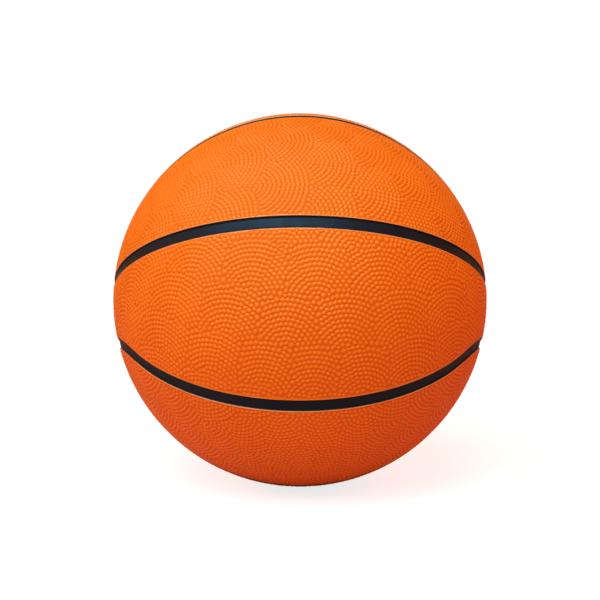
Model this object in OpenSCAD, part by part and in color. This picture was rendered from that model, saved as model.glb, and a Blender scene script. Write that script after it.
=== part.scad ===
// Moulded rubber basketball, size 5. Millimetres, +Z up, origin at the centre of the ball.
//
// The seam frame: the equator channel lies in the XY plane, the meridian channel in the XZ plane, and one
// closed loop runs round each end of the Z axis. The channels cross at the ends of the X axis and at the
// tips of the loops. The whole ball is then tilted about X, so that the wide panel below the equator
// faces the front, which is -Y.

/* [Ball] */
// Diameter over the panels, for a girth of 700 mm
ball_d = 222.8; // [180:0.1:250]
// Tilt of the seams about the X axis, which lifts the front of the equator channel
seam_tilt = 19.6; // [0:0.1:45]

/* [Layers] */
// Thickness of the cover panels
cover_t = 1.5; // [1.2:0.05:2.5]
// Thickness of the rubber carcass under the panels
carcass_t = 0.5; // [0.3:0.05:1.2]
// Thickness of the wound thread
winding_t = 0.25; // [0.15:0.05:0.6]
// Wall of the bladder
bladder_t = 0.7; // [0.4:0.05:1.5]

/* [Channels] */
// Width of the black strip in the floor of a channel
channel_w = 6; // [4:0.1:9]
// Depth from the panels down to the strip
channel_depth = 1; // [0.6:0.05:1.1]
// Radius of the rolled panel edge beside a channel
shoulder_r = 1; // [0.5:0.05:1.3]
// Angle from the equator up to the middle of a loop's long side
loop_side_angle = 47; // [42:0.1:50]
// Angle from the equator up to the tip of a loop
loop_tip_angle = 16; // [12:0.1:20]
// Angular radius of the circle that a long side follows, where 90 is a great circle
loop_side_radius_angle = 92.1; // [90:0.1:94]

/* [Valve] */
// Diameter of the round eye that the strip makes for the valve
eye_d = 12; // [10:0.1:16]
// Diameter of the housing's neck, which shows in the eye
neck_d = 8.6; // [7:0.1:9.5]
// Diameter of the housing inside the bladder
housing_d = 13; // [11:0.1:18]
// Length of the housing below its flange
housing_l = 16; // [12:0.1:24]
// Diameter of the housing's flange
flange_d = 26; // [20:0.1:34]
// Thickness of the housing's flange
flange_t = 1.2; // [0.8:0.05:2]
// Diameter of the patch between the flange and the bladder
patch_d = 38; // [36:0.1:50]
// Thickness of the patch
patch_t = 0.6; // [0.4:0.05:1.2]
// Diameter of the insert's head
head_d = 6.6; // [5.8:0.1:6.8]
// Thickness of the insert's head
head_t = 1.1; // [0.8:0.05:1.5]
// Diameter of the insert's stem
stem_d = 4.6; // [4:0.1:5.2]
// Diameter of the barb that holds the insert in its housing
barb_d = 6.4; // [5.6:0.1:7]
// Length of the barb
barb_l = 2.6; // [2:0.1:4]
// Diameter of the needle's guide bore
needle_bore_d = 2.2; // [1.8:0.05:2.8]
// Length of the needle's guide bore
needle_bore_l = 10; // [6:0.1:12]
// Diameter of the funnel at the mouth of the guide bore
funnel_d = 3.6; // [3.2:0.1:4]

/* [Hidden] */
$fn = 180;

// Radius of each layer's outer face
ball_r = ball_d / 2;
carcass_r = ball_r - cover_t;
winding_r = carcass_r - carcass_t;
bladder_r = winding_r - winding_t;
patch_r = bladder_r - bladder_t;
flange_r = patch_r - patch_t;
floor_r = ball_r - channel_depth;
// Distance from the centre to the housing's inner end and to the seat of the insert's head
housing_end = flange_r - flange_t - housing_l;
head_seat = floor_r - head_t;

// How far a cut runs past what it cuts
overrun = 2;
// How much of its radius the top of a rolled edge would stand above the ball, so that it meets it in a clear line
lip_share = 0.05;
// The tips of a loop end inside its sides: they lap by this angle and are this much narrower
lap_angle = 0.4;
lap_slack = 0.02;
// Share of the overrun that the slots of the tips take
tip_reach_share = 0.8;
// Running clearance of the neck in the layers and of the insert in the housing
valve_fit = 0.1;
// Length and width of the slit that closes behind the needle
slit_l = 2;
slit_w = 0.2;
// Radius of the rounded end of the housing
housing_round_r = 1.5;
// Drop of the funnel at the mouth of the guide bore
funnel_l = 0.8;
// Diameter of the blunt end of the barb
barb_end_d = 3.4;
// Planes that stand for each half of a loop's tip where a panel is picked out
tip_planes = 2;

// Angle from the pole of the ball to the pole of the circle that a long side follows
side_turn = loop_side_angle + loop_side_radius_angle - 90;
// Angular radius of the tip circle that touches both long sides and reaches down to the tip angle
tip_radius_angle = atan(
    (sin(loop_tip_angle) * cos(side_turn) - cos(loop_side_radius_angle))
    / (sin(loop_side_radius_angle) - cos(loop_tip_angle) * cos(side_turn))
);
// Angle from the pole of the ball to the pole of the tip circle
tip_turn = 90 - loop_tip_angle - tip_radius_angle;
// Half of the angle that each arc sweeps about its own pole, up to where it touches the next
side_span = 90 - atan2(cos(tip_turn) * sin(side_turn), sin(tip_turn));
tip_span = atan2(sin(side_turn), cos(side_turn) * sin(tip_turn));

rubber_orange = [0.95, 0.43, 0.07];
channel_black = [0.06, 0.06, 0.07];
bladder_black = [0.12, 0.12, 0.13];
valve_grey = [0.2, 0.2, 0.21];
thread_white = [0.86, 0.84, 0.78];
carcass_brown = [0.36, 0.2, 0.12];

// Turns the children from the seam frame to the ball's own frame
module seated() rotate([-seam_tilt, 0, 0]) children();

module shell(outer_r, wall) difference() {
    sphere(outer_r);
    sphere(outer_r - wall);
}

// Profiles lie in the half-plane through a circle's pole. Each is drawn about the X axis and then
// turned to the circle's angular radius.

// The slot that a strip fills, open above and below
module slot_profile(radius_angle, half_w = channel_w / 2, reach = overrun) rotate(90 - radius_angle)
    translate([carcass_r - reach, -half_w]) square([cover_t + 2 * reach, 2 * half_w]);

// The groove that the panels leave for a strip, with their rolled edges
module groove_profile(radius_angle, half_w = channel_w / 2) rotate(90 - radius_angle) {
    edge_w = half_w + shoulder_r;
    edge_r = sqrt(pow(ball_r, 2) - pow(edge_w, 2)) - (1 - lip_share) * shoulder_r;
    difference() {
        translate([carcass_r - overrun, -edge_w]) square([cover_t + 2 * overrun, 2 * edge_w]);
        for (side = [-1, 1]) {
            translate([edge_r, side * edge_w]) circle(shoulder_r);
            translate([carcass_r - 2 * overrun, side > 0 ? half_w : -half_w - 2 * shoulder_r])
                square([edge_r - carcass_r + 2 * overrun, 2 * shoulder_r]);
        }
    }
}

// Sweeps a profile about the local pole
module arc(middle, span) rotate([0, 0, middle - span]) rotate_extrude(angle = 2 * span) children();

// Sweeps the first child along the loop's long sides, of which the front is -1 and the back 1, and the
// second along its two tips
module loop(sides) {
    for (side = sides) rotate([side * side_turn, 0, 0]) arc(side * 90, side_span) children(0);
    for (end = [-1, 1]) rotate([0, end * tip_turn, 0]) arc(end > 0 ? 0 : 180, tip_span + lap_angle) children(1);
}

module loop_slot() loop([-1, 1]) {
    slot_profile(loop_side_radius_angle);
    slot_profile(tip_radius_angle, channel_w / 2 - lap_slack, tip_reach_share * overrun);
}

module front_loop_groove() loop([-1]) {
    groove_profile(loop_side_radius_angle);
    groove_profile(tip_radius_angle, channel_w / 2 - lap_slack);
}

// Angle from the local pole to a plane through the centre that stays as near as it can to an arc of a circle:
// halfway between the tangent plane and the chord
function plane_angle(radius_angle, span) =
    (radius_angle + atan2(sin(radius_angle) * cos(span), cos(radius_angle))) / 2;

// Half space beyond such a plane, on the side of the X axis
module beyond(radius_angle, span) rotate([0, plane_angle(radius_angle, span), 0])
    translate([0, -ball_d, -ball_d]) cube(2 * ball_d);

// Everything outside the front half of the top loop, marked off by planes that run down its channel
module outside_loop() {
    rotate([-side_turn, 0, 0]) rotate([0, 0, -90]) beyond(loop_side_radius_angle, side_span);
    for (end = [0, 1], i = [0 : tip_planes - 1])
        mirror([end, 0, 0]) rotate([0, tip_turn, 0]) rotate([0, 0, -(i + 0.5) * tip_span / tip_planes])
            beyond(tip_radius_angle, 0.5 * tip_span / tip_planes);
}

module equator_groove() rotate_extrude() groove_profile(90);

// Turns the children from the plane of the equator to the plane of the meridian
module to_meridian() rotate([90, 0, 0]) children();

module meridian_groove() to_meridian() equator_groove();

// The front upper quarter of the cover, cut back from the equator and the meridian
module quarter_cover() difference() {
    intersection() {
        shell(ball_r, cover_t);
        translate([-ball_d, -ball_d, 0]) cube([2 * ball_d, ball_d, ball_d]);
    }
    equator_groove();
    meridian_groove();
}

// The same, parted by the loop's channel
module parted_quarter() difference() {
    quarter_cover();
    front_loop_groove();
}

// Panel between the equator and the loop, at the front upper quarter
module belt_panel() intersection() {
    parted_quarter();
    outside_loop();
}

// Panel inside the loop, at the front upper quarter
module cap_panel() difference() {
    parted_quarter();
    outside_loop();
}

// Round clearing with a rolled edge that the two top panels leave for the valve's eye
module eye_clearing() rotate_extrude() intersection() {
    groove_profile(0, eye_d / 2);
    square(ball_d);
}

module to_back() mirror([0, 1, 0]) children();

module to_bottom() mirror([0, 0, 1]) children();

module belt_panel_front_upper() color(rubber_orange) seated() belt_panel();

module belt_panel_front_lower() color(rubber_orange) seated() to_bottom() belt_panel();

module belt_panel_back_upper() color(rubber_orange) seated() to_back() belt_panel();

module belt_panel_back_lower() color(rubber_orange) seated() to_back() to_bottom() belt_panel();

module cap_panel_top_front() color(rubber_orange) seated() difference() {
    cap_panel();
    eye_clearing();
}

module cap_panel_top_back() color(rubber_orange) seated() to_back() difference() {
    cap_panel();
    eye_clearing();
}

module cap_panel_bottom_front() color(rubber_orange) seated() to_bottom() cap_panel();

module cap_panel_bottom_back() color(rubber_orange) seated() to_bottom() to_back() cap_panel();

module equator_slot() rotate_extrude() slot_profile(90);

// The strip that fills the child slots, on the carcass
module strip() intersection() {
    shell(floor_r, cover_t - channel_depth);
    union() children();
}

module equator_channel() color(channel_black) seated() strip() equator_slot();

module top_loop_channel() color(channel_black) seated() strip() loop_slot();

module bottom_loop_channel() color(channel_black) seated() to_bottom() strip() loop_slot();

// Slot of the meridian, still in the equator's plane, between two angles from the X axis
module lying_slot(low, high) arc((low + high) / 2, (high - low) / 2) slot_profile(90);

// Strip between the equator and the tip of the loop, at the right
module side_strip() difference() {
    to_meridian() strip() lying_slot(0, loop_tip_angle);
    loop_slot();
    equator_slot();
}

module meridian_channel_top() color(channel_black) seated() difference() {
    to_meridian() strip() {
        lying_slot(loop_tip_angle, 180 - loop_tip_angle);
        rotate([-90, 0, 0]) cylinder(d = eye_d, h = ball_d);
    }
    loop_slot();
    valve_hole();
}

module meridian_channel_bottom() color(channel_black) seated() to_bottom() difference() {
    to_meridian() strip() lying_slot(loop_tip_angle, 180 - loop_tip_angle);
    loop_slot();
}

module meridian_channel_right_upper() color(channel_black) seated() side_strip();

module meridian_channel_right_lower() color(channel_black) seated() to_bottom() side_strip();

module meridian_channel_left_upper() color(channel_black) seated() mirror([1, 0, 0]) side_strip();

module meridian_channel_left_lower() color(channel_black) seated() mirror([1, 0, 0]) to_bottom() side_strip();

// Hole through a layer for the housing's neck
module valve_hole() cylinder(d = neck_d + 2 * valve_fit, h = ball_r);

// A layer of the ball's wall with the hole for the neck
module layer(outer_r, wall) seated() difference() {
    shell(outer_r, wall);
    valve_hole();
}

module carcass() color(carcass_brown) layer(carcass_r, carcass_t);

module thread_winding() color(thread_white) layer(winding_r, winding_t);

module bladder() color(bladder_black) layer(bladder_r, bladder_t);

module valve_patch() color(bladder_black) seated() difference() {
    intersection() {
        shell(patch_r, patch_t);
        cylinder(d = patch_d, h = ball_r);
    }
    valve_hole();
}

// Outline of the insert's head and stem, grown all round by a clearance
module insert_outline(gap) {
    translate([0, head_seat - gap]) square([head_d / 2 + gap, head_t + 2 * gap]);
    translate([0, housing_end - gap]) square([stem_d / 2 + gap, head_seat - housing_end]);
}

// Outline of the housing without its bore: body, flange and neck
module housing_outline() {
    translate([0, housing_end]) square([housing_d / 2 - housing_round_r, housing_round_r]);
    translate([housing_d / 2 - housing_round_r, housing_end + housing_round_r]) circle(housing_round_r);
    translate([0, housing_end + housing_round_r])
        square([housing_d / 2, flange_r - flange_t / 2 - housing_end - housing_round_r]);
    intersection() {
        difference() {
            circle(flange_r);
            circle(flange_r - flange_t);
        }
        square([flange_d / 2, ball_r]);
    }
    intersection() {
        circle(floor_r);
        translate([0, flange_r - flange_t / 2]) square([neck_d / 2, ball_r - flange_r]);
    }
}

module valve_housing() color(valve_grey) seated() rotate_extrude() difference() {
    housing_outline();
    insert_outline(valve_fit);
}

module valve_insert() color(valve_grey) seated() difference() {
    rotate_extrude() difference() {
        union() {
            intersection() {
                circle(floor_r);
                insert_outline(0);
            }
            translate([0, housing_end - barb_l]) polygon([
                [0, 0],
                [barb_end_d / 2, 0],
                [barb_d / 2, barb_l],
                [0, barb_l]
            ]);
        }
        translate([0, floor_r - needle_bore_l]) square([needle_bore_d / 2, needle_bore_l + overrun]);
        translate([0, floor_r - funnel_l]) polygon([
            [0, 0],
            [needle_bore_d / 2, 0],
            [funnel_d / 2, funnel_l],
            [0, funnel_l]
        ]);
    }
    translate([-slit_l / 2, -slit_w / 2, housing_end - barb_l - overrun])
        cube([slit_l, slit_w, floor_r - needle_bore_l - housing_end + barb_l + 2 * overrun]);
}

bladder();
valve_patch();
valve_housing();
valve_insert();
thread_winding();
carcass();
belt_panel_front_upper();
belt_panel_front_lower();
belt_panel_back_upper();
belt_panel_back_lower();
cap_panel_top_front();
cap_panel_top_back();
cap_panel_bottom_front();
cap_panel_bottom_back();
equator_channel();
top_loop_channel();
bottom_loop_channel();
meridian_channel_top();
meridian_channel_bottom();
meridian_channel_right_upper();
meridian_channel_right_lower();
meridian_channel_left_upper();
meridian_channel_left_lower();
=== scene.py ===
import math

import bmesh
import bpy
from mathutils import Matrix, Vector, noise
from mathutils.geometry import delaunay_2d_cdt
from mathutils.kdtree import KDTree


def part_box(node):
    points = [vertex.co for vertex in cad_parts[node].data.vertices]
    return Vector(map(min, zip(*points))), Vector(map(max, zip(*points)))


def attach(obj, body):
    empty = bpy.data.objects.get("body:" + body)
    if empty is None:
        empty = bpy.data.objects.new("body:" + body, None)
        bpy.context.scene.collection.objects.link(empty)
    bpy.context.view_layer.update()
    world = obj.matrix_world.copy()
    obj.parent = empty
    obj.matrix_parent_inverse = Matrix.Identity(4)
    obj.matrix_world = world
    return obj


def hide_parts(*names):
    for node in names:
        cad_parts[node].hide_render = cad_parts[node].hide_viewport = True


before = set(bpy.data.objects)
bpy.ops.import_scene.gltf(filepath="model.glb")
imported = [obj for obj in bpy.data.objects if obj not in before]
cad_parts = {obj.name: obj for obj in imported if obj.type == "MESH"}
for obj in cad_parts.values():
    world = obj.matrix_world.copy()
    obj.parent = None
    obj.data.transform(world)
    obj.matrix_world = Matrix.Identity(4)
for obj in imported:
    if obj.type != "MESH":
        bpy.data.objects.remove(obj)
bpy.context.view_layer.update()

bl_info = {
    "name": "Moulded rubber basketball",
    "version": (1, 0, 0),
    "blender": (4, 5, 0),
    "location": "3D View > Sidebar > Ball",
    "description": "Pebbled panels, channels, valve and inner layers of a size 5 ball, in a plain studio",
    "category": "Add Mesh",
}

# Every panel is one of the front upper quarter, mirrored front to back and top to bottom by these signs
UPPER_BELT_NODES = {"belt_panel_front_upper": (1, 1), "belt_panel_back_upper": (-1, 1)}
LOWER_BELT_NODES = {"belt_panel_front_lower": (1, -1), "belt_panel_back_lower": (-1, -1)}
TOP_CAP_NODES = {"cap_panel_top_front": (1, 1), "cap_panel_top_back": (-1, 1)}
BOTTOM_CAP_NODES = {"cap_panel_bottom_front": (1, -1), "cap_panel_bottom_back": (-1, -1)}
# The lowest panel's reach, to a tenth of a millimetre, because its facets fall a little short of the ball
FRAME_R = round(-min(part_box(node)[0].z for node in BOTTOM_CAP_NODES), 4)
CHANNEL_NODES = [
    "equator_channel", "top_loop_channel", "bottom_loop_channel",
    "meridian_channel_top", "meridian_channel_bottom",
    "meridian_channel_right_upper", "meridian_channel_right_lower",
    "meridian_channel_left_upper", "meridian_channel_left_lower",
]

# Outline of a belt panel: segments up the meridian, round a tip, along a loop's side, along the equator
BELT_SEGMENTS = (14, 16, 130, 220)
# Outline of a cap panel: segments along the meridian, round a tip, along a loop's side, round the eye
EYED_CAP_SEGMENTS = (76, 18, 130, 18)
PLAIN_CAP_SEGMENTS = (160, 18, 130, 0)
# Angle from the equator up to the middle of a panel, in radians
BELT_RISE = 0.4
CAP_RISE = 1.15

# Rolled edge, in degrees from its top: where the pebbled face ends, and the rings from there to the wall
FACE_END = 32
EDGE_TURNS = (40, 50, 60, 70, 80, 90)
# Depth of the rolled edge's axis below the ball's surface, as a share of the edge's radius
EDGE_AXIS_SHARE = 0.95
# Spacing of the vertices on a panel's underside, and the share of it that they keep from the wall
UNDERSIDE_STEP = 0.006
UNDERSIDE_CLEAR_SHARE = 0.6
# Cosine past which a place is too far round the ball for a panel's chart
CHART_LIMIT = -0.1

# Fans of a kind of panel: whether they are turned a right angle, the place of one fan, how much their rows
# bow along with the loop, and whether the panel is mirrored top to bottom
UPPER_BELT_FANS = {"turned": True, "origin": (0.004, 0.0), "bow": 0.0, "mirrored": False}
LOWER_BELT_FANS = {"turned": False, "origin": (0.009, 0.0885), "bow": 2.6, "mirrored": True}
CAP_FANS = {"turned": False, "origin": (0.0, 0.02), "bow": 0.0, "mirrored": False}
# Angles from the middle meridian and from the equator within which fans are planted
FAN_FIELD = (1.05 * math.pi / 2, 1.3)
# Each row of a fan has this many pebbles more than the one inside it, and starts this share of a step round
ROW_GAIN = 6
ROW_START_SHARE = 0.25
# Difference in the angle out from the fan's centre below which two pebbles are in one row
ROW_MATCH = 1e-6

# Shares of the pebbles' pitch: least gap between centres, inset of a cell, room for its border, and how far
# the ground's rise reaches to each side of a row
LEAST_GAP_SHARE = 0.78
CELL_INSET_SHARE = 0.15
BORDER_ROOM_SHARE = 0.12
SADDLE_REACH_SHARE = 0.3
# Share of the room in its cell that a pebble's shoulder may take
SHOULDER_ROOM_SHARE = 0.7
# Shares of the pebbles' height: height beside the border, drop to the shoulder, drop to the crown and its
# spread, and depth at which the crown's colour takes over from the painted shade of the ground
BORDER_HEIGHT_SHARE = 0.4
SHOULDER_DROP_SHARE = 0.45
CROWN_DROP_SHARE = 0.04
CROWN_SPREAD_SHARE = 0.04
CROWN_COLOUR_SHARE = 0.25
# Scale of the noise that makes the crowns uneven
CROWN_NOISE = 600

# Depth of the strips below the ball's surface
CHANNEL_DEPTH = 0.001
# Bands beside a strip's edge, as distances inside it. Those below zero lie on the panel.
POLISH_BAND = (-0.0014, -0.0009)
# band of the painted highlight on the crest of the rolled edge
CREST_HIGHLIGHT_BAND = (-0.0007, -0.0004)
PAINT_BAND = (-0.00022, -0.00014)
DUST_BAND = (0.0001, 0.0009)
HOLLOW_BAND = (0, 0.0009)
# Raggedness of the paint's edge, and rise of a strip towards its walls
PAINT_RAGGED = 0.00006
HOLLOW_RISE = 0.0004
# Roughness that the ground and the dust add, and that the polish takes away
GROUND_ROUGHNESS = 0.3
DUST_ROUGHNESS = 0.4
POLISH = 0.12
# Least and most strength of the painted highlight on the crests
CREST_HIGHLIGHT_SHARES = (0.25, 0.6)
# Shades of the cover's patches and flecks
WHITE = (1.0, 1.0, 1.0)
PATCH_SHADE = (0.94, 0.92, 0.9)
FLECK_SHADE = (0.96, 0.94, 0.92)

# Thread: turns of its three windings and the scale of its strands
THREAD_TURNS = ((0.3, 0.2, 0), (1.2, 0.9, 0.4), (2.0, -0.7, 1.1))
THREAD_SCALE = 420

FLOOR_RADIUS = 3.0
FLOOR_SEGMENTS = 96
FLOOR_COLOUR = (0.72, 0.43, 0.33)
# The floor's glow grows to white over this reach from the ball
GLOW_REACH = (0.2, 0.7)
NEAR_GLOW = 0.80
NEAR_GLOW_TINT = (0.6, 0.97, 1.0)
# Tint of the light that the room itself gives
ROOM_TINT = (1.34, 0.46, 0.17)
# How far behind the ball a direction points where the white backdrop fades in
BACKDROP_BAND = (0.75, 0.95)
KEY_LAMP = {"place": (-0.17, -0.56, 0.59), "size": (0.7, 0.7), "colour": (0.44, 1.0, 1.45)}
FILL_LAMP = {"place": (-1.6, -0.52, 0.32), "size": (1.2, 1.2), "colour": (1.0, 0.93, 0.8)}


class BallShape(bpy.types.PropertyGroup):
    """Sizes of the ball and of its channels"""

    radius: bpy.props.FloatProperty(
        name="Radius", description="Radius over the pebbles", default=FRAME_R, unit="LENGTH")
    seam_tilt: bpy.props.FloatProperty(
        name="Seam tilt", description="Turn of the seams about X",
        default=math.radians(19.6), subtype="ANGLE")
    cover: bpy.props.FloatProperty(
        name="Cover", description="Thickness of a panel", default=0.0015, unit="LENGTH")
    channel: bpy.props.FloatProperty(
        name="Channel", description="Width of a channel's black strip", default=0.006, unit="LENGTH")
    shoulder: bpy.props.FloatProperty(
        name="Shoulder", description="Radius of the rolled panel edge", default=0.001, unit="LENGTH")
    eye: bpy.props.FloatProperty(
        name="Eye", description="Diameter of the round strip about the valve", default=0.012, unit="LENGTH")
    side_angle: bpy.props.FloatProperty(
        name="Side angle", description="Equator to the middle of a loop's long side",
        default=math.radians(47), subtype="ANGLE")
    tip_angle: bpy.props.FloatProperty(
        name="Tip angle", description="Equator to the tip of a loop",
        default=math.radians(16), subtype="ANGLE")
    side_radius: bpy.props.FloatProperty(
        name="Side radius", description="Angular radius of the circle that a long side follows",
        default=math.radians(92.1), subtype="ANGLE")


class PebbleShape(bpy.types.PropertyGroup):
    """The moulded pebbles and the fans that their rows follow"""

    pitch: bpy.props.FloatProperty(
        name="Pitch", description="Spacing of the pebbles and of their rows", default=0.0023, unit="LENGTH")
    height: bpy.props.FloatProperty(
        name="Height", description="Height of a pebble over the ground between",
        default=0.0007, unit="LENGTH")
    width: bpy.props.FloatProperty(
        name="Width", description="Share of the pitch that a pebble's shoulder takes",
        default=0.55, subtype="FACTOR")
    saddle: bpy.props.FloatProperty(
        name="Saddle", description="Share of their height at which the pebbles of a row join",
        default=0.5, subtype="FACTOR")
    margin: bpy.props.FloatProperty(
        name="Margin", description="Rolled edge to the heart of the first pebble",
        default=0.00025, unit="LENGTH")
    fade: bpy.props.FloatProperty(
        name="Fade", description="Distance from the border over which the pebbles grow to their full height",
        default=0.0015, unit="LENGTH")
    fan_radius: bpy.props.FloatProperty(
        name="Fan radius", description="Radius of the largest row of a fan", default=0.029, unit="LENGTH")
    fan_step: bpy.props.FloatProperty(
        name="Fan step", description="Spacing of the fans along a row of fans",
        default=0.0338, unit="LENGTH")
    fan_rise: bpy.props.FloatProperty(
        name="Fan rise", description="Spacing of the rows of fans", default=0.0245, unit="LENGTH")


class RubberFinish(bpy.types.PropertyGroup):
    """Colours and gloss of the rubber"""

    orange: bpy.props.FloatVectorProperty(
        name="Orange", description="Cover rubber",
        default=(0.96, 0.168, 0.003), size=3, subtype="COLOR")
    # painted shade: the ground between the pebbles is coloured darker than the crowns
    valley_shade_orange: bpy.props.FloatVectorProperty(
        name="Deep orange", description="Cover rubber between the pebbles",
        default=(0.80, 0.10, 0.0015), size=3, subtype="COLOR")
    # painted highlight on the crest of the rolled edges
    painted_crest_highlight: bpy.props.FloatVectorProperty(
        name="Worn", description="Crest of the rolled edges",
        default=(0.9, 0.42, 0.2), size=3, subtype="COLOR")
    black: bpy.props.FloatVectorProperty(
        name="Black", description="Channel rubber",
        default=(0.004, 0.004, 0.005), size=3, subtype="COLOR")
    cover_tint: bpy.props.FloatVectorProperty(
        name="Cover tint", description="Colour of the cover's sheen",
        default=(1.0, 0.95, 0.32), size=3, subtype="COLOR")
    channel_tint: bpy.props.FloatVectorProperty(
        name="Channel tint", description="Colour of the channels' sheen",
        default=(0.65, 0.88, 1.0), size=3, subtype="COLOR")
    cover_roughness: bpy.props.FloatProperty(
        name="Cover roughness", description="Roughness of the cover", default=0.36, subtype="FACTOR")
    cover_gloss: bpy.props.FloatProperty(
        name="Cover gloss", description="Specular level of the cover", default=0.4, subtype="FACTOR")
    channel_roughness: bpy.props.FloatProperty(
        name="Channel roughness", description="Roughness of the channels", default=0.52, subtype="FACTOR")
    channel_gloss: bpy.props.FloatProperty(
        name="Channel gloss", description="Specular level of the channels", default=0.21, subtype="FACTOR")


class StudioSetup(bpy.types.PropertyGroup):
    """Camera and light"""

    distance: bpy.props.FloatProperty(
        name="Distance", description="Camera to the centre of the ball", default=0.4567, unit="LENGTH")
    lens: bpy.props.FloatProperty(
        name="Lens", description="Focal length on a 36 mm sensor",
        default=44.6, subtype="DISTANCE_CAMERA", unit="CAMERA")
    key_watts: bpy.props.FloatProperty(name="Key", description="Power of the upper softbox", default=9.0)
    fill_watts: bpy.props.FloatProperty(name="Fill", description="Power of the side softbox", default=3.6)
    ambient: bpy.props.FloatProperty(
        name="Ambient", description="Strength of the room's own light", default=0.5)


class Seams:
    """The seam circles of the front upper quarter, in the seam frame, on the unit sphere"""

    def __init__(self, shape):
        self.side_radius = shape.side_radius
        self.tip_angle = shape.tip_angle
        self.side_turn = shape.side_angle + shape.side_radius - math.pi / 2
        self.tip_radius = math.atan(
            (math.sin(self.tip_angle) * math.cos(self.side_turn) - math.cos(self.side_radius))
            / (math.sin(self.side_radius) - math.cos(self.tip_angle) * math.cos(self.side_turn)))
        self.tip_turn = math.pi / 2 - self.tip_angle - self.tip_radius
        self.side_span = math.pi / 2 - math.atan2(
            math.cos(self.tip_turn) * math.sin(self.side_turn), math.sin(self.tip_turn))
        self.tip_span = math.atan2(
            math.sin(self.side_turn), math.cos(self.side_turn) * math.sin(self.tip_turn))

    def side_point(self, grow, azimuth):
        """Point on the circle of a loop's long side, which is grown by an angle"""
        a = self.side_radius + grow
        pole = Vector((0, math.sin(self.side_turn), math.cos(self.side_turn)))
        down = Vector((0, -math.cos(self.side_turn), math.sin(self.side_turn)))
        across = Vector((1, 0, 0))
        return math.cos(a) * pole + math.sin(a) * (math.cos(azimuth) * down + math.sin(azimuth) * across)

    def tip_point(self, grow, azimuth, hand):
        """Point on the circle of a loop's tip, on the right for a hand of 1 and on the left for -1"""
        a = self.tip_radius + grow
        pole = Vector((math.sin(self.tip_turn), 0, math.cos(self.tip_turn)))
        down = Vector((math.cos(self.tip_turn), 0, -math.sin(self.tip_turn)))
        back = Vector((0, 1, 0))
        p = math.cos(a) * pole + math.sin(a) * (math.cos(azimuth) * down - math.sin(azimuth) * back)
        return Vector((hand * p.x, p.y, p.z))

    def tip_start(self, grow, gap):
        """Azimuth on a tip's circle where it leaves the meridian's edge"""
        return math.asin(math.sin(gap) / math.sin(self.tip_radius + grow))

    def meridian_point(self, gap, rise):
        """Point on the meridian channel's front edge"""
        return Vector((math.cos(gap) * math.cos(rise), -math.sin(gap), math.cos(gap) * math.sin(rise)))

    def meridian_end(self, grow, gap):
        """Rise along the meridian's edge where it meets the tip's circle"""
        lean = math.acos(math.cos(self.tip_radius + grow) / math.cos(gap))
        return math.pi / 2 - self.tip_turn - lean

    def belt_outline(self, gap, counts):
        """Closed outline of the belt panel at an angle from the middle of its channels"""
        rungs, tip, side, equator = counts
        low = math.asin(math.tan(gap))
        high = self.meridian_end(gap, gap)
        start = self.tip_start(gap, gap)
        reach = math.acos(math.tan(gap))
        right = [self.meridian_point(gap, low + (high - low) * i / rungs) for i in range(rungs)]
        right += [self.tip_point(gap, start + (self.tip_span - start) * i / tip, 1) for i in range(tip)]
        over = [self.side_point(gap, self.side_span * (1 - 2 * i / side)) for i in range(side + 1)]
        left = [Vector((-p.x, p.y, p.z)) for p in reversed(right)]
        under = []
        for i in range(1, equator):
            turn = reach * (2 * i / equator - 1)
            under.append(Vector((
                math.cos(gap) * math.sin(turn), -math.cos(gap) * math.cos(turn), math.sin(gap))))
        return right + over + left + under

    def cap_outline(self, gap, counts, eye=None):
        """Closed outline of the cap panel. An eye is the angular radius of the valve's clearing."""
        top, tip, side, rim = counts
        start = self.tip_start(-gap, gap)
        low = self.meridian_end(-gap, gap)
        if eye is None:
            crown = [self.meridian_point(gap, low + (math.pi - 2 * low) * i / top) for i in range(top)]
        else:
            half = math.acos(math.cos(eye) / math.cos(gap))
            stop = math.pi / 2 - half
            crown = [self.meridian_point(gap, low + (stop - low) * i / top) for i in range(top)]
            turn = math.asin(math.sin(gap) / math.sin(eye))
            for i in range(rim):
                a = -turn - (math.pi - 2 * turn) * i / rim
                crown.append(Vector((
                    math.sin(eye) * math.cos(a), math.sin(eye) * math.sin(a), math.cos(eye))))
            crown += [
                self.meridian_point(gap, math.pi - stop + (stop - low) * i / top) for i in range(top)]
        left = [self.tip_point(-gap, start + (self.tip_span - start) * i / tip, -1) for i in range(tip)]
        over = [self.side_point(-gap, self.side_span * (2 * i / side - 1)) for i in range(side + 1)]
        right = [Vector((-p.x, p.y, p.z)) for p in reversed(left[1:])]
        return crown + left + over + right


def plant(places):
    """Tree that finds the places nearest to a point"""
    tree = KDTree(len(places))
    for i, place in enumerate(places):
        tree.insert(place, i)
    tree.balance()
    return tree


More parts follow.
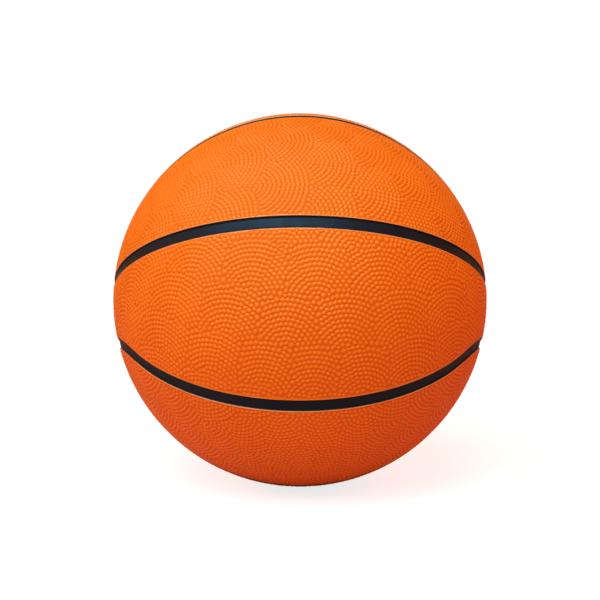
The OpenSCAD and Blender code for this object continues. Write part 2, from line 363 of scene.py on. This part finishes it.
class Fans:
    """Rows of pebbles on overlapping fans. A fan lies over the fans of the rows above it."""

    def __init__(self, pebbles, radius, turned, origin, bow, mirrored):
        self.pebbles = pebbles
        self.radius = radius
        self.centres = []
        reach = math.pi * radius
        rows = int(reach / pebbles.fan_rise) + 1
        steps = int(reach / pebbles.fan_step) + 1
        for row in range(-rows, rows + 1):
            for step in range(-steps, steps + 1):
                along = origin[0] + (step + 0.5 * (row % 2)) * pebbles.fan_step
                up = origin[1] + row * pebbles.fan_rise - bow * (along - origin[0]) ** 2
                x, y = (up, along) if turned else (along, up)
                if abs(x) < FAN_FIELD[0] * radius and abs(y) < FAN_FIELD[1] * radius:
                    # the rows of a mirrored panel overlap the other way, until it is turned upside down
                    self.centres.append((-row if mirrored else row, self.on_ball(x, y)))
        self.tree = plant([centre for row, centre in self.centres])

    def on_ball(self, x, y):
        """Point on the unit sphere at distances along the equator and up from it"""
        lon = x / self.radius
        lat = y / self.radius
        return Vector((math.cos(lat) * math.sin(lon), -math.cos(lat) * math.cos(lon), math.sin(lat)))

    def owner(self, point):
        """Index of the fan that lies on top at a point, or -1"""
        best = None
        chord = 2 * math.sin(self.pebbles.fan_radius / self.radius / 2)
        for centre, i, away in self.tree.find_range(point, chord):
            key = (self.centres[i][0], away)
            if best is None or key < best[0]:
                best = (key, i)
        return -1 if best is None else best[1]

    def points(self, inside):
        """Pebbles that lie inside: centre on the unit sphere, centre of the fan, angle out to the row"""
        pitch = self.pebbles.pitch
        least = LEAST_GAP_SHARE * pitch / self.radius
        kept = []
        boxes = {}

        def try_point(p, centre, away):
            """Keeps a pebble, unless one that lies too near is in its box or in a box beside it"""
            box = tuple(int(c // least) for c in p)
            for i in (-1, 0, 1):
                for j in (-1, 0, 1):
                    for k in (-1, 0, 1):
                        for q in boxes.get((box[0] + i, box[1] + j, box[2] + k), ()):
                            if (q - p).length < least:
                                return
            boxes.setdefault(box, []).append(p)
            kept.append((p, centre, away))

        for i, (row, centre) in enumerate(self.centres):
            east = Vector((0, 0, 1)).cross(centre).normalized()
            north = centre.cross(east)
            rings = int(self.pebbles.fan_radius / pitch + 1)
            for ring in range(rings + 1):
                away = ring * pitch / self.radius
                count = max(1, ROW_GAIN * ring)
                for n in range(count):
                    turn = 2 * math.pi * (n + ROW_START_SHARE) / count
                    p = math.cos(away) * centre + math.sin(away) * (
                        math.cos(turn) * east + math.sin(turn) * north)
                    if inside(p) and self.owner(p) == i:
                        try_point(p, centre, away)
        return kept


def to_chart(point, middle, east, north):
    """Stereographic chart about the middle of a panel, which keeps circles round"""
    d = 1 + point.dot(middle)
    return Vector((point.dot(east) / d, point.dot(north) / d))


def chart_axes(middle):
    """Middle of a panel, with the directions east and north of it"""
    east = Vector((0, 0, 1)).cross(middle).normalized()
    return middle, east, middle.cross(east)


def in_ring(p, ring):
    """Whether a chart point lies inside a closed ring"""
    odd = False
    j = len(ring) - 1
    for i in range(len(ring)):
        a, b = ring[i], ring[j]
        if (a.y > p.y) != (b.y > p.y) and p.x < (b.x - a.x) * (p.y - a.y) / (b.y - a.y) + a.x:
            odd = not odd
        j = i
    return odd


def net(bm, verts, ring, axes):
    """Faces between scattered points, inside the closed ring of the first ones"""
    flat = [to_chart(v.co.normalized(), *axes) for v in verts]
    edges = [(i, (i + 1) % ring) for i in range(ring)]
    # the last two arguments keep only what lies inside the ring, and say when two points are one
    out = delaunay_2d_cdt(flat, edges, [], 1, 1e-9)
    if len(out[0]) != len(verts):
        raise RuntimeError("the panel's outline crosses itself or points coincide")
    source = [o[0] for o in out[3]]
    return [bm.faces.new([verts[source[i]] for i in f]) for f in out[2]]


def grow_edge(bm, ring, places):
    """Extrudes the open edge of the panel to new places and returns its new ring"""
    count = len(ring)
    edges = [bm.edges.get((ring[i], ring[(i + 1) % count])) for i in range(count)]
    made = bmesh.ops.extrude_edge_only(bm, edges=edges)
    new = {g for g in made["geom"] if isinstance(g, bmesh.types.BMVert)}
    fresh = []
    for v, place in zip(ring, places):
        w = next(e.other_vert(v) for e in v.link_edges if e.other_vert(v) in new)
        w.co = place
        fresh.append(w)
    return fresh


def edges_of(cells):
    """Edges of the cells, each one once"""
    return list(dict.fromkeys(e for f in cells for e in f.edges))


class Relief:
    """Height of a panel's pebbles, and of the ground between them"""

    def __init__(self, points, border, ball, pebbles):
        self.points = points
        self.ball = ball
        self.pebbles = pebbles
        self.border_tree = plant(border)
        self.pebble_tree = plant([p * ball for p, centre, away in points])

    def height(self, place):
        """Height of the pebbles here, which grows away from the border"""
        t = min(self.border_tree.find(place)[2] / self.pebbles.fade, 1.0)
        grown = BORDER_HEIGHT_SHARE + (1 - BORDER_HEIGHT_SHARE) * t * t * (3 - 2 * t)
        return self.pebbles.height * grown

    def saddle(self, place):
        """How far the ground rises here between two pebbles of one row, as a share of their height"""
        pair = [self.points[i] for q, i, d in self.pebble_tree.find_n(place, 2)]
        if len(pair) < 2 or pair[0][1] != pair[1][1] or abs(pair[0][2] - pair[1][2]) > ROW_MATCH:
            return 0.0
        off = abs(place.angle(pair[0][1]) - pair[0][2]) * self.ball
        return self.pebbles.saddle * max(0.0, 1 - off / (SADDLE_REACH_SHARE * self.pebbles.pitch))


def pebble_cells(bm, border, points, ball, axes):
    """Face of a panel, with one cell round each pebble. Returns the cells and the ring of the border."""
    ring = [bm.verts.new(p) for p in border]
    seeds = [bm.verts.new(p * ball) for p, centre, away in points]
    net(bm, ring + seeds, len(ring), axes)
    between = [e for e in bm.edges if len(e.link_faces) == 2]

    # the net of centres is turned into its dual
    corners = bmesh.ops.poke(bm, faces=bm.faces[:])["verts"]
    bmesh.ops.rotate_edges(bm, edges=between, use_ccw=True)
    bmesh.ops.dissolve_verts(bm, verts=seeds)
    for v in corners:
        v.co = v.co.normalized() * ball
    cells = [f for f in bm.faces if len(f.verts) > 3]
    bmesh.ops.subdivide_edges(bm, edges=edges_of(cells), cuts=1)
    # the ring was made first, and this step gives every vertex a new handle
    bm.verts.ensure_lookup_table()
    cells = [f for f in bm.faces if len(f.verts) > 4]
    return cells, bm.verts[:len(border)]


def raise_pebbles(bm, cells, relief, ball, pebbles):
    """Sinks the ground between the pebbles, and draws each cell in to its pebble and domes it"""
    for v in bm.verts:
        if not v.is_boundary:
            place = v.co.normalized() * ball
            v.co = place.normalized() * (ball - relief.height(place) * (1 - relief.saddle(place)))

    bmesh.ops.inset_individual(
        bm, faces=cells, thickness=CELL_INSET_SHARE * pebbles.pitch, use_even_offset=True)
    shoulder_r = pebbles.width * pebbles.pitch / 2
    for f in cells:
        heart = f.calc_center_median()
        up = heart.normalized()
        high = relief.height(up * ball)
        for v in f.verts:
            out = v.co - heart
            out -= out.dot(up) * up
            # the cell's border lies outside this vertex, by the inset
            room = out.length + BORDER_ROOM_SHARE * pebbles.pitch
            out *= min(shoulder_r, SHOULDER_ROOM_SHARE * room) / out.length
            v.co = (up * ball + out).normalized() * (ball - SHOULDER_DROP_SHARE * high)
    tops = bmesh.ops.poke(bm, faces=cells)["verts"]
    for v in tops:
        uneven = noise.noise(v.co * CROWN_NOISE) * CROWN_SPREAD_SHARE
        v.co = v.co.normalized() * (ball - (CROWN_DROP_SHARE + uneven) * pebbles.height)


def close_underside(bm, ring, axes, ball, under):
    """Closes the panel inside its lowest ring with an even lattice on the sphere of its underside"""
    middle = axes[0]
    step = UNDERSIDE_STEP / ball
    lattice = []
    inner = [to_chart(v.co.normalized(), *axes) for v in ring]
    tree = plant([v.co for v in ring])
    rows = int(math.pi / step)
    for i in range(1, rows):
        polar = math.pi * i / rows
        turns = max(1, round(2 * math.pi * math.sin(polar) / step))
        for j in range(turns):
            a = 2 * math.pi * j / turns
            p = Vector((math.sin(polar) * math.cos(a), math.sin(polar) * math.sin(a), math.cos(polar)))
            if p.dot(middle) < CHART_LIMIT or not in_ring(to_chart(p, *axes), inner):
                continue
            if tree.find(p * under)[2] > UNDERSIDE_CLEAR_SHARE * step * ball:
                lattice.append(p * under)
    low = [bm.verts.new(p) for p in lattice]
    net(bm, ring + low, len(ring), axes)


def settle_order(bm):
    """Sorts the mesh by place, because an extrusion makes its faces in a different order on each run"""
    axis = Vector((1, math.sqrt(2), math.sqrt(3)))

    def key(element):
        """Sum along a slanted axis, which comes out the same whichever corner is first"""
        return math.fsum(v.co.dot(axis) for v in element.verts)

    bm.verts.sort(key=lambda v: v.co.dot(axis))
    bm.edges.sort(key=key)
    bm.faces.sort(key=key)


def panel_mesh(outline, middle, points, shape, pebbles):
    """A panel of the front upper quarter: pebbled face, rolled edge, wall and underside"""
    ball = shape.radius
    edge_w = shape.channel / 2 + shape.shoulder
    edge_x = math.sqrt(ball ** 2 - edge_w ** 2) - EDGE_AXIS_SHARE * shape.shoulder
    axes = chart_axes(middle)
    bm = bmesh.new()

    def rolled(turn):
        """Ring on the rolled edge, at a turn in degrees from its top"""
        x = edge_x + shape.shoulder * math.cos(math.radians(turn))
        w = edge_w - shape.shoulder * math.sin(math.radians(turn))
        return [p * math.hypot(x, w) for p in outline(math.atan2(w, x))]

    border = rolled(FACE_END)
    cells, ring = pebble_cells(bm, border, points, ball, axes)
    creases = edges_of(cells)
    raise_pebbles(bm, cells, Relief(points, border, ball, pebbles), ball, pebbles)

    for turn in EDGE_TURNS:
        ring = grow_edge(bm, ring, rolled(turn))
    under = ball - shape.cover
    ring = grow_edge(bm, ring, [p * under for p in outline(math.asin(shape.channel / 2 / under))])
    close_underside(bm, ring, axes, ball, under)

    bmesh.ops.recalc_face_normals(bm, faces=bm.faces[:])
    for f in bm.faces:
        f.smooth = True
    for e in creases:
        e.smooth = False
    settle_order(bm)
    return bm


def place_panels(bm, nodes, material, shape):
    """Copies of the front upper panel, mirrored to each place and turned to the seam tilt"""
    tilt = Matrix.Rotation(-shape.seam_tilt, 4, "X")
    for node, (front, upper) in nodes.items():
        copy = bm.copy()
        bmesh.ops.transform(copy, matrix=tilt @ Matrix.Diagonal((1, front, upper, 1)), verts=copy.verts)
        if front * upper < 0:
            bmesh.ops.reverse_faces(copy, faces=copy.faces)
        mesh = bpy.data.meshes.new(node + "_cover")
        copy.to_mesh(mesh)
        copy.free()
        piece = bpy.data.objects.new(node + "_cover", mesh)
        bpy.context.scene.collection.objects.link(piece)
        mesh.materials.append(material)
        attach(piece, "root")
        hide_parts(node)


def build_panels(scene, outline, rise, layout, nodes):
    """The panels that one outline and one layout of fans make"""
    shape, pebbles = scene.ball_shape, scene.ball_pebbles
    middle = Vector((0, -math.cos(rise), math.sin(rise)))
    axes = chart_axes(middle)
    edge_w = shape.channel / 2 + shape.shoulder
    fence = outline(math.asin((edge_w + pebbles.margin) / shape.radius))
    ring = [to_chart(p, *axes) for p in fence]

    def inside(p):
        return p.y < 0 and p.z > 0 and in_ring(to_chart(p, *axes), ring)

    fans = Fans(pebbles, shape.radius, **layout)
    bm = panel_mesh(outline, middle, fans.points(inside), shape, pebbles)
    material = bpy.data.materials.get("cover_rubber")
    if material is None:
        material = cover_rubber(scene.ball_finish, shape, pebbles)
    place_panels(bm, nodes, material, shape)
    bm.free()


def new_material(name):
    """Material with a Principled shader and the Object coordinates"""
    mat = bpy.data.materials.new(name)
    mat.use_nodes = True
    tree = mat.node_tree
    tree.nodes.clear()
    out = tree.nodes.new("ShaderNodeOutputMaterial")
    shader = tree.nodes.new("ShaderNodeBsdfPrincipled")
    tree.links.new(shader.outputs[0], out.inputs[0])
    coord = tree.nodes.new("ShaderNodeTexCoord")
    return mat, tree, shader, coord.outputs["Object"]


def add_noise(tree, vector, scale, detail=3.0, roughness=0.5):
    n = tree.nodes.new("ShaderNodeTexNoise")
    n.inputs["Scale"].default_value = scale
    n.inputs["Detail"].default_value = detail
    n.inputs["Roughness"].default_value = roughness
    tree.links.new(vector, n.inputs["Vector"])
    return n.outputs["Fac"]


def add_range(tree, value, low, high, to_low=0, to_high=1):
    """Value drawn smoothly from one range into another, and held at its ends"""
    n = tree.nodes.new("ShaderNodeMapRange")
    n.interpolation_type = "SMOOTHSTEP"
    tree.links.new(value, n.inputs["Value"])
    for key, number in zip(("From Min", "From Max", "To Min", "To Max"), (low, high, to_low, to_high)):
        n.inputs[key].default_value = number
    return n.outputs["Result"]


def add_mottle(tree, coord, scale, detail, spread=0.2, ends=(0, 1)):
    """Noise whose middle part, as far as the spread on each side of a half, is drawn out to the ends"""
    return add_range(tree, add_noise(tree, coord, scale, detail), 0.5 - spread, 0.5 + spread, *ends)


def around(middle, spread):
    """Ends of a range about its middle"""
    return middle - spread, middle + spread


def add_mix(tree, factor, a, b, blend="MIX"):
    """Mix of two colours. Each input is a socket or a constant."""
    n = tree.nodes.new("ShaderNodeMix")
    n.data_type = "RGBA"
    n.blend_type = blend
    # sockets of the colour mix: factor, first colour, second colour
    for key, value in zip((0, 6, 7), (factor, a, b)):
        if isinstance(value, bpy.types.NodeSocket):
            tree.links.new(value, n.inputs[key])
        elif isinstance(value, (int, float)):
            n.inputs[key].default_value = value
        else:
            n.inputs[key].default_value = (*value, 1)
    return n.outputs[2]


def add_math(tree, operation, a, b):
    n = tree.nodes.new("ShaderNodeMath")
    n.operation = operation
    for key, value in enumerate((a, b)):
        if isinstance(value, bpy.types.NodeSocket):
            tree.links.new(value, n.inputs[key])
        else:
            n.inputs[key].default_value = value
    return n.outputs[0]


def add_vector(tree, operation, vector):
    n = tree.nodes.new("ShaderNodeVectorMath")
    n.operation = operation
    tree.links.new(vector, n.inputs[0])
    return n.outputs["Value" if operation == "LENGTH" else "Vector"]


def add_dot(tree, vector, axis):
    n = tree.nodes.new("ShaderNodeVectorMath")
    n.operation = "DOT_PRODUCT"
    tree.links.new(vector, n.inputs[0])
    n.inputs[1].default_value = axis
    return n.outputs["Value"]


def add_bump(tree, shader, height, distance, strength, under=None):
    """Bump on the shader, on top of another one if that is given"""
    n = tree.nodes.new("ShaderNodeBump")
    n.inputs["Distance"].default_value = distance
    n.inputs["Strength"].default_value = strength
    tree.links.new(height, n.inputs["Height"])
    if under is not None:
        tree.links.new(under, n.inputs["Normal"])
    tree.links.new(n.outputs["Normal"], shader.inputs["Normal"])
    return n.outputs["Normal"]


def distance_inside(tree, coord, shape):
    """How far a point lies inside the strips' edges. The seams are the same in every eighth of the ball."""
    seams = Seams(shape)
    strip_r = shape.radius - CHANNEL_DEPTH
    # every point is measured at the height of the strips
    turned = tree.nodes.new("ShaderNodeMapping")
    turned.inputs["Rotation"].default_value = (shape.seam_tilt, 0, 0)
    turned.inputs["Scale"].default_value = (strip_r, strip_r, strip_r)
    tree.links.new(add_vector(tree, "NORMALIZE", coord), turned.inputs["Vector"])
    split = tree.nodes.new("ShaderNodeSeparateXYZ")
    tree.links.new(turned.outputs[0], split.inputs[0])
    eighth = add_vector(tree, "ABSOLUTE", turned.outputs[0])

    # where a side of a loop hands over to its tip, each of them is put far off past its end
    hand_over = strip_r * math.sin(seams.side_radius) * math.sin(seams.side_span)
    blend = 0.0001
    far = 0.01
    over = add_range(
        tree, add_dot(tree, eighth, (1, 0, 0)), *around(hand_over, blend), to_low=0, to_high=far)
    under = add_math(tree, "SUBTRACT", far, over)

    def off(axis, angle):
        """Distance from the circle at an angle from an axis"""
        gap = add_math(tree, "ABSOLUTE", add_math(
            tree, "SUBTRACT", add_dot(tree, eighth, axis), strip_r * math.cos(angle)), 0)
        return add_math(tree, "DIVIDE", gap, math.sin(angle))

    side = off((0, -math.sin(seams.side_turn), math.cos(seams.side_turn)), seams.side_radius)
    tip = off((math.sin(seams.tip_turn), 0, math.cos(seams.tip_turn)), seams.tip_radius)
    near = add_math(tree, "MINIMUM", off((0, 0, 1), math.pi / 2), off((0, 1, 0), math.pi / 2))
    near = add_math(tree, "MINIMUM", near, add_math(tree, "ADD", side, over))
    near = add_math(tree, "MINIMUM", near, add_math(tree, "ADD", tip, under))
    inside = add_math(tree, "SUBTRACT", shape.channel / 2, near)

    # the eye is at the top alone, so lower down it is put far off
    eye_rise = 0.05
    eye_off = 0.1
    flat = tree.nodes.new("ShaderNodeCombineXYZ")
    tree.links.new(split.outputs["X"], flat.inputs["X"])
    tree.links.new(split.outputs["Y"], flat.inputs["Y"])
    tree.links.new(add_range(tree, split.outputs["Z"], 0, eye_rise, eye_off, 0), flat.inputs["Z"])
    eye = add_math(tree, "SUBTRACT", shape.eye / 2, add_vector(tree, "LENGTH", flat.outputs[0]))
    return add_math(tree, "MAXIMUM", inside, eye)


def cover_rubber(finish, shape, pebbles):
    """Moulded orange rubber. The ground between the pebbles is painted darker as shade, and is more matt."""
    mat, tree, shader, coord = new_material("cover_rubber")
    shader.inputs["Specular IOR Level"].default_value = finish.cover_gloss
    shader.inputs["Specular Tint"].default_value = (*finish.cover_tint, 1)
    inside = distance_inside(tree, coord, shape)
    rise = add_range(
        tree, add_vector(tree, "LENGTH", coord),
        shape.radius - pebbles.height, shape.radius - CROWN_COLOUR_SHARE * pebbles.height)
    # painted shade: the ground between the pebbles is drawn darker than their crowns
    base = add_mix(tree, rise, finish.valley_shade_orange, finish.orange)
    patch = add_mottle(tree, coord, scale=14, detail=4, spread=0.15)
    base = add_mix(tree, 1.0, base, add_mix(tree, patch, PATCH_SHADE, WHITE), "MULTIPLY")
    fleck = add_mottle(tree, coord, scale=900, detail=2)
    base = add_mix(tree, 1.0, base, add_mix(tree, fleck, FLECK_SHADE, WHITE), "MULTIPLY")

    # the crest of the rolled edge is painted pale, as a highlight
    crest = add_math(
        tree, "MULTIPLY", add_range(tree, inside, *CREST_HIGHLIGHT_BAND),
        add_mottle(tree, coord, scale=90, detail=3, ends=CREST_HIGHLIGHT_SHARES))
    base = add_mix(tree, crest, base, finish.painted_crest_highlight)
    # the channel's paint laps up onto the wall of the rolled edge
    ragged = add_math(tree, "MULTIPLY", add_noise(tree, coord, scale=500, detail=2), PAINT_RAGGED)
    paint = add_range(tree, add_math(tree, "ADD", inside, ragged), *PAINT_BAND)
    base = add_mix(tree, paint, base, tuple(2 * c for c in finish.black))
    tree.links.new(base, shader.inputs["Base Color"])

    # the ground between the pebbles stays matt, and the mould is polished along the rolled edges
    rough = add_mottle(tree, coord, scale=60, detail=5, ends=around(finish.cover_roughness, 0.05))
    rough = add_math(
        tree, "ADD", rough, add_range(tree, rise, 0, 0.8, to_low=GROUND_ROUGHNESS, to_high=0))
    polish = add_range(tree, inside, *POLISH_BAND, to_low=0, to_high=-POLISH)
    tree.links.new(add_math(tree, "ADD", rough, polish), shader.inputs["Roughness"])
    grain = add_noise(tree, coord, scale=2600, detail=3, roughness=0.6)
    fine = add_bump(tree, shader, grain, distance=0.00006, strength=0.35)
    waves = add_noise(tree, coord, scale=260, detail=2)
    add_bump(tree, shader, waves, distance=0.0002, strength=0.15, under=fine)
    return mat


def channel_rubber(finish, shape):
    """Smooth black rubber of the channels, hollowed a little from edge to edge"""
    mat, tree, shader, coord = new_material("channel_rubber")
    shader.inputs["Specular IOR Level"].default_value = finish.channel_gloss
    shader.inputs["Specular Tint"].default_value = (*finish.channel_tint, 1)
    inside = distance_inside(tree, coord, shape)
    patch = add_mottle(tree, coord, scale=45, detail=4)
    base = add_mix(tree, patch, finish.black, tuple(1.5 * c for c in finish.black))
    tree.links.new(base, shader.inputs["Base Color"])
    rough = add_mottle(tree, coord, scale=120, detail=4, ends=around(finish.channel_roughness, 0.06))
    dusty = add_range(tree, inside, *DUST_BAND, to_low=DUST_ROUGHNESS, to_high=0)
    tree.links.new(add_math(tree, "ADD", rough, dusty), shader.inputs["Roughness"])
    # the strip turns up into the walls
    hollow = add_range(tree, inside, *HOLLOW_BAND, to_low=HOLLOW_RISE, to_high=0)
    grain_height = 0.000015
    grain = add_math(tree, "MULTIPLY", add_noise(tree, coord, scale=1400, detail=3), grain_height)
    add_bump(tree, shader, add_math(tree, "ADD", hollow, grain), distance=1.0, strength=1.0)
    return mat


def plain_rubber(name, colour, roughness, scale):
    """Rubber of an inner piece, with the fine mottle of its mould"""
    mat, tree, shader, coord = new_material(name)
    patch = add_mottle(tree, coord, scale, detail=4)
    base = add_mix(tree, patch, tuple(0.8 * c for c in colour), tuple(1.2 * c for c in colour))
    tree.links.new(base, shader.inputs["Base Color"])
    rough = add_mottle(tree, coord, 4 * scale, detail=3, ends=around(roughness, 0.08))
    tree.links.new(rough, shader.inputs["Roughness"])
    add_bump(tree, shader, add_noise(tree, coord, 20 * scale, detail=3), distance=0.0001, strength=0.3)
    return mat


def wound_thread():
    """Nylon thread wound round the bladder on crossing great circles"""
    mat, tree, shader, coord = new_material("wound_thread")
    strands = []
    for turn in THREAD_TURNS:
        place = tree.nodes.new("ShaderNodeMapping")
        place.inputs["Rotation"].default_value = turn
        tree.links.new(coord, place.inputs["Vector"])
        wave = tree.nodes.new("ShaderNodeTexWave")
        wave.inputs["Scale"].default_value = THREAD_SCALE
        wave.inputs["Distortion"].default_value = 1.5
        wave.inputs["Detail"].default_value = 1
        tree.links.new(place.outputs[0], wave.inputs["Vector"])
        strands.append(wave.outputs["Fac"])
    total = strands[0]
    for strand in strands[1:]:
        total = add_math(tree, "MAXIMUM", total, strand)
    base = add_mix(tree, total, (0.30, 0.27, 0.22), (0.80, 0.77, 0.68))
    tree.links.new(base, shader.inputs["Base Color"])
    rough = add_range(tree, total, 0, 1, to_low=0.8, to_high=0.55)
    tree.links.new(rough, shader.inputs["Roughness"])
    add_bump(tree, shader, total, distance=0.0002, strength=0.6)
    return mat


def dress(names, material):
    """Gives the solids of these names a material"""
    for name in names:
        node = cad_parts[name]
        node.data.materials.clear()
        node.data.materials.append(material)


def seen_white(tree, place):
    """1 for what the camera sees, and for reflections of the white backdrop behind the ball"""
    path = tree.nodes.new("ShaderNodeLightPath")
    mirrored = add_math(
        tree, "MAXIMUM", path.outputs["Is Glossy Ray"], path.outputs["Is Transmission Ray"])
    behind = tree.nodes.new("ShaderNodeSeparateXYZ")
    tree.links.new(add_vector(tree, "NORMALIZE", place), behind.inputs[0])
    backdrop = add_range(tree, behind.outputs["Y"], *BACKDROP_BAND)
    return add_math(
        tree, "MAXIMUM", path.outputs["Is Camera Ray"], add_math(tree, "MULTIPLY", mirrored, backdrop))


def pale_floor():
    """Matt floor that is lit near the ball. Further out its glow takes over."""
    mat = bpy.data.materials.new("pale_floor")
    mat.use_nodes = True
    tree = mat.node_tree
    tree.nodes.clear()
    out = tree.nodes.new("ShaderNodeOutputMaterial")
    matt = tree.nodes.new("ShaderNodeBsdfDiffuse")
    matt.inputs["Color"].default_value = (*FLOOR_COLOUR, 1)
    glow = tree.nodes.new("ShaderNodeEmission")
    total = tree.nodes.new("ShaderNodeAddShader")
    place = tree.nodes.new("ShaderNodeTexCoord").outputs["Object"]
    away = add_vector(tree, "LENGTH", place)
    white = add_range(tree, away, *GLOW_REACH, to_low=NEAR_GLOW, to_high=1.0)
    tree.links.new(add_mix(tree, white, NEAR_GLOW_TINT, WHITE), glow.inputs["Color"])
    tree.links.new(add_math(tree, "MULTIPLY", white, seen_white(tree, place)), glow.inputs["Strength"])
    tree.links.new(matt.outputs[0], total.inputs[0])
    tree.links.new(glow.outputs[0], total.inputs[1])
    tree.links.new(total.outputs[0], out.inputs[0])
    return mat


def add_floor(scene, drop):
    """Round floor below the ball"""
    bm = bmesh.new()
    bmesh.ops.create_circle(bm, cap_ends=True, segments=FLOOR_SEGMENTS, radius=FLOOR_RADIUS)
    bmesh.ops.translate(bm, vec=(0, 0, -drop), verts=bm.verts)
    mesh = bpy.data.meshes.new("floor")
    bm.to_mesh(mesh)
    bm.free()
    floor = bpy.data.objects.new("floor", mesh)
    scene.collection.objects.link(floor)
    mesh.materials.append(pale_floor())


def add_room(scene, ambient):
    """World that lights the ball with a warm tint and looks white"""
    world = bpy.data.worlds.new("room")
    scene.world = world
    world.use_nodes = True
    tree = world.node_tree
    tree.nodes.clear()
    out = tree.nodes.new("ShaderNodeOutputWorld")
    back = tree.nodes.new("ShaderNodeBackground")
    seen = seen_white(tree, tree.nodes.new("ShaderNodeTexCoord").outputs["Generated"])
    warm = tuple(ambient * c for c in ROOM_TINT)
    tree.links.new(add_mix(tree, seen, warm, WHITE), back.inputs["Color"])
    tree.links.new(back.outputs[0], out.inputs[0])


def add_lamp(scene, name, watts, place, size, colour):
    """Softbox that faces the middle of the ball"""
    light = bpy.data.lights.new(name, "AREA")
    light.shape = "RECTANGLE"
    light.size, light.size_y = size
    light.energy = watts
    light.color = colour
    lamp = bpy.data.objects.new(name, light)
    scene.collection.objects.link(lamp)
    facing = (-Vector(place)).to_track_quat("-Z", "Y").to_matrix().to_4x4()
    lamp.matrix_world = Matrix.Translation(place) @ facing


def add_camera(scene, studio):
    """Level camera in front of the ball"""
    view = bpy.data.cameras.new("camera")
    view.lens = studio.lens
    view.sensor_width = 36.0
    view.clip_start = 0.01
    camera = bpy.data.objects.new("camera", view)
    scene.collection.objects.link(camera)
    camera.location = (0, -studio.distance, 0)
    camera.rotation_euler = (math.pi / 2, 0, 0)
    scene.camera = camera


class BALL_OT_belt_panels(bpy.types.Operator):
    """Pebbled panels between the equator and the loops"""

    bl_idname = "ball.belt_panels"
    bl_label = "Belt panels"

    def execute(self, context):
        seams = Seams(context.scene.ball_shape)

        def outline(gap):
            return seams.belt_outline(gap, BELT_SEGMENTS)

        build_panels(context.scene, outline, BELT_RISE, UPPER_BELT_FANS, UPPER_BELT_NODES)
        build_panels(context.scene, outline, BELT_RISE, LOWER_BELT_FANS, LOWER_BELT_NODES)
        return {"FINISHED"}


class BALL_OT_cap_panels(bpy.types.Operator):
    """Pebbled panels inside the loops. The two at the top leave room for the valve's eye."""

    bl_idname = "ball.cap_panels"
    bl_label = "Cap panels"

    def execute(self, context):
        shape = context.scene.ball_shape
        seams = Seams(shape)
        spread = (shape.eye - shape.channel) / 2

        def eyed_outline(gap):
            eye = math.atan(math.tan(gap) + spread / shape.radius)
            return seams.cap_outline(gap, EYED_CAP_SEGMENTS, eye)

        def plain_outline(gap):
            return seams.cap_outline(gap, PLAIN_CAP_SEGMENTS)

        build_panels(context.scene, eyed_outline, CAP_RISE, CAP_FANS, TOP_CAP_NODES)
        build_panels(context.scene, plain_outline, CAP_RISE, CAP_FANS, BOTTOM_CAP_NODES)
        return {"FINISHED"}


class BALL_OT_channels(bpy.types.Operator):
    """Finish of the black strips in the channels"""

    bl_idname = "ball.channels"
    bl_label = "Channels"

    def execute(self, context):
        dress(CHANNEL_NODES, channel_rubber(context.scene.ball_finish, context.scene.ball_shape))
        return {"FINISHED"}


class BALL_OT_valve(bpy.types.Operator):
    """Finish of the valve's housing, insert and patch"""

    bl_idname = "ball.valve"
    bl_label = "Valve"

    def execute(self, context):
        dress(["valve_housing"], plain_rubber(
            "valve_housing_rubber", colour=(0.022, 0.022, 0.025), roughness=0.5, scale=300))
        dress(["valve_insert"], plain_rubber(
            "valve_insert_rubber", colour=(0.035, 0.035, 0.038), roughness=0.55, scale=400))
        dress(["valve_patch"], plain_rubber(
            "valve_patch_rubber", colour=(0.03, 0.03, 0.032), roughness=0.6, scale=200))
        return {"FINISHED"}


class BALL_OT_inner_layers(bpy.types.Operator):
    """Finish of the bladder, the wound thread and the carcass"""

    bl_idname = "ball.inner_layers"
    bl_label = "Inner layers"

    def execute(self, context):
        dress(["bladder"], plain_rubber(
            "bladder_rubber", colour=(0.02, 0.02, 0.021), roughness=0.45, scale=60))
        dress(["thread_winding"], wound_thread())
        dress(["carcass"], plain_rubber(
            "carcass_rubber", colour=(0.13, 0.05, 0.02), roughness=0.6, scale=90))
        return {"FINISHED"}


class BALL_OT_stage(bpy.types.Operator):
    """Pale floor, soft lamps, white room and the camera"""

    bl_idname = "ball.stage"
    bl_label = "Stage"

    def execute(self, context):
        scene = context.scene
        studio = scene.ball_studio
        scene.view_settings.view_transform = "Standard"
        add_floor(scene, scene.ball_shape.radius)
        add_room(scene, studio.ambient)
        add_lamp(scene, "key", studio.key_watts, **KEY_LAMP)
        add_lamp(scene, "fill", studio.fill_watts, **FILL_LAMP)
        add_camera(scene, studio)
        return {"FINISHED"}


class BALL_PT_panel(bpy.types.Panel):
    """Sizes, colours and steps of the ball"""

    bl_idname = "BALL_PT_panel"
    bl_label = "Ball"
    bl_space_type = "VIEW_3D"
    bl_region_type = "UI"
    bl_category = "Ball"

    def draw(self, context):
        for group in GROUPS:
            values = getattr(context.scene, group)
            box = self.layout.box()
            for key in values.__annotations__:
                box.prop(values, key)
        for step in STEPS:
            self.layout.operator(step.bl_idname)


GROUPS = {
    "ball_shape": BallShape,
    "ball_pebbles": PebbleShape,
    "ball_finish": RubberFinish,
    "ball_studio": StudioSetup,
}
STEPS = (
    BALL_OT_belt_panels,
    BALL_OT_cap_panels,
    BALL_OT_channels,
    BALL_OT_valve,
    BALL_OT_inner_layers,
    BALL_OT_stage,
)


def register():
    for cls in (*GROUPS.values(), *STEPS, BALL_PT_panel):
        bpy.utils.register_class(cls)
    for key, cls in GROUPS.items():
        setattr(bpy.types.Scene, key, bpy.props.PointerProperty(type=cls))


def unregister():
    for key in GROUPS:
        delattr(bpy.types.Scene, key)
    for cls in reversed((*GROUPS.values(), *STEPS, BALL_PT_panel)):
        bpy.utils.unregister_class(cls)


def main():
    register()
    bpy.ops.ball.belt_panels()
    bpy.ops.ball.cap_panels()
    bpy.ops.ball.channels()
    bpy.ops.ball.valve()
    bpy.ops.ball.inner_layers()
    bpy.ops.ball.stage()


if __name__ == "__main__":
    main()
